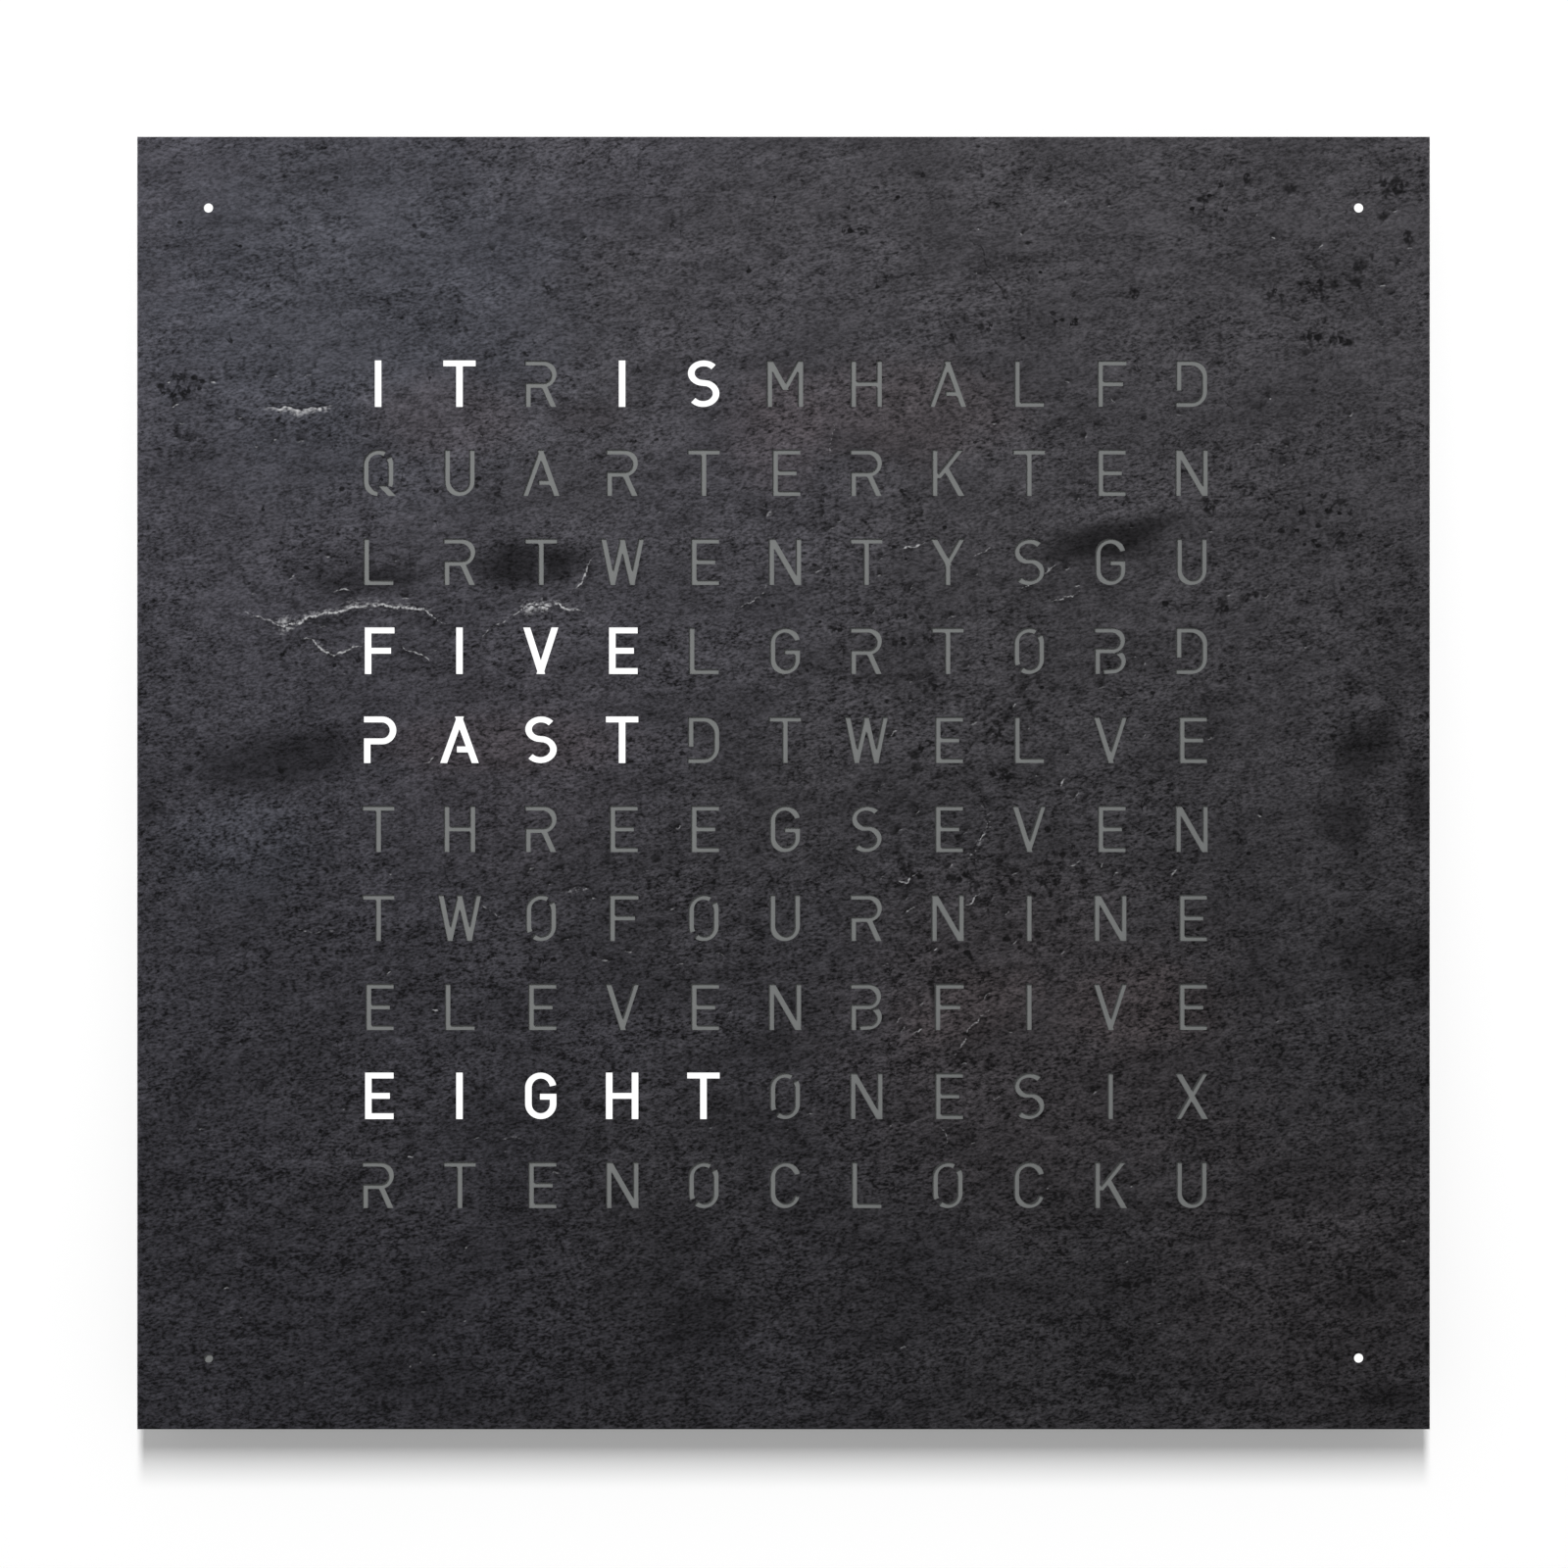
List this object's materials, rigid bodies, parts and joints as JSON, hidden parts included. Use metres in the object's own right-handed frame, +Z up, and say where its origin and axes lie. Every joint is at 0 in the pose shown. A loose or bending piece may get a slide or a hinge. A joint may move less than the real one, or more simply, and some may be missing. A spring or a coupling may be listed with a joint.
{
  "type": "word clock",
  "caption": "Square wall clock that tells the time in lit words on a slate cover, held by magnets on a slim housing that hooks on a wall bracket.",
  "frame": {"origin": "centre of the four wall screws on the wall plane, behind the centre of the clock", "axes": "+X right and +Z up as the clock is read, +Y into the wall; the face looks along -Y"},
  "size_m": [0.45, 0.025, 0.45],
  "materials": {
    "slate": "natural cleft slate, dark grey",
    "diffuser": "translucent, satin",
    "carrier_steel": "fine black powder coat",
    "lug_plastic": "black nylon",
    "housing_plastic": "fine moulded texture, black",
    "magnet_nickel": "nickel plated",
    "bumper_rubber": "soft, matte",
    "shaft_plastic": "matte white",
    "grid_plastic": "matte white, reflective",
    "screw_steel": "zinc plated",
    "led_package": "white package, yellowish lens",
    "led_board": "white solder resist",
    "connector_plastic": "natural nylon",
    "ribbon_cable": "grey flat cable",
    "lead_jacket": "black jacket",
    "controller_board": "green solder resist",
    "chip_epoxy": "moulded epoxy",
    "crystal_can": "drawn can",
    "capacitor_can": "sleeveless can",
    "holder_plastic": "black nylon",
    "cell_steel": "brushed",
    "inlet_plastic": "black nylon",
    "inlet_brass": "plated pin",
    "sensor_lens": "smoked lens",
    "switch_case": "moulded",
    "button_plastic": "satin, dark grey",
    "plunger_plastic": "natural",
    "bracket_steel": "galvanised sheet"
  },
  "bodies": {
    "wall_plate": {"wall_bracket": "bracket_steel"},
    "clock_body": {"bus_ribbon": "ribbon_cable", "button_switches": "switch_case", "capacitors": "capacitor_can", "clock_crystal": "crystal_can", "coin_cell": "cell_steel", "coin_cell_holder": "holder_plastic", "controller_board": "controller_board", "driver_chips": "chip_epoxy", "hanger_plate": "bracket_steel", "hanger_screws": "screw_steel", "holding_magnets": "magnet_nickel", "inlet_pin": "inlet_brass", "letter_leds": "led_package", "light_grid": "grid_plastic", "light_sensor": "sensor_lens", "minute_board_bottom_left": "led_board", "minute_board_bottom_right": "led_board", "minute_board_top_left": "led_board", "minute_board_top_right": "led_board", "minute_leads": "lead_jacket", "minute_leds": "led_package", "minute_shaft_bottom_left": "shaft_plastic", "minute_shaft_bottom_right": "shaft_plastic", "minute_shaft_top_left": "shaft_plastic", "minute_shaft_top_right": "shaft_plastic", "power_inlet": "inlet_plastic", "processor_chip": "chip_epoxy", "rear_housing": "housing_plastic", "ribbon_header": "connector_plastic", "row_board_01": "led_board", "row_board_02": "led_board", "row_board_03": "led_board", "row_board_04": "led_board", "row_board_05": "led_board", "row_board_06": "led_board", "row_board_07": "led_board", "row_board_08": "led_board", "row_board_09": "led_board", "row_board_10": "led_board", "row_connectors": "connector_plastic", "voltage_regulator": "chip_epoxy", "wall_bumpers": "bumper_rubber"},
    "front_cover": {"stone_face": "slate", "diffuser_sheet": "diffuser", "carrier_plate": "carrier_steel", "locating_lugs": "lug_plastic"},
    "hour_key": {"hour_button": "button_plastic", "hour_plunger": "plunger_plastic"},
    "minute_key": {"minute_button": "button_plastic", "minute_plunger": "plunger_plastic"},
    "brightness_key": {"brightness_button": "button_plastic", "brightness_plunger": "plunger_plastic"},
    "mode_key": {"mode_button": "button_plastic", "mode_plunger": "plunger_plastic"}
  },
  "joints": [
    {"name": "lift_off", "type": "slide", "parent": "wall_plate", "child": "clock_body", "axis": [0, 0, 1], "range_m": [0, 0.014]},
    {"name": "cover_pull", "type": "slide", "parent": "clock_body", "child": "front_cover", "axis": [0, -1, 0], "range_m": [0, 0.06]},
    {"name": "hour_press", "type": "slide", "parent": "clock_body", "child": "hour_key", "axis": [0, 0, 1], "range_m": [0, 0.0008], "stiffness_N_per_m": 400, "springref_m": -0.001},
    {"name": "minute_press", "type": "slide", "parent": "clock_body", "child": "minute_key", "axis": [0, 0, 1], "range_m": [0, 0.0008], "stiffness_N_per_m": 400, "springref_m": -0.001},
    {"name": "brightness_press", "type": "slide", "parent": "clock_body", "child": "brightness_key", "axis": [0, 0, 1], "range_m": [0, 0.0008], "stiffness_N_per_m": 400, "springref_m": -0.001},
    {"name": "mode_press", "type": "slide", "parent": "clock_body", "child": "mode_key", "axis": [0, 0, 1], "range_m": [0, 0.0008], "stiffness_N_per_m": 400, "springref_m": -0.001}
  ]
}
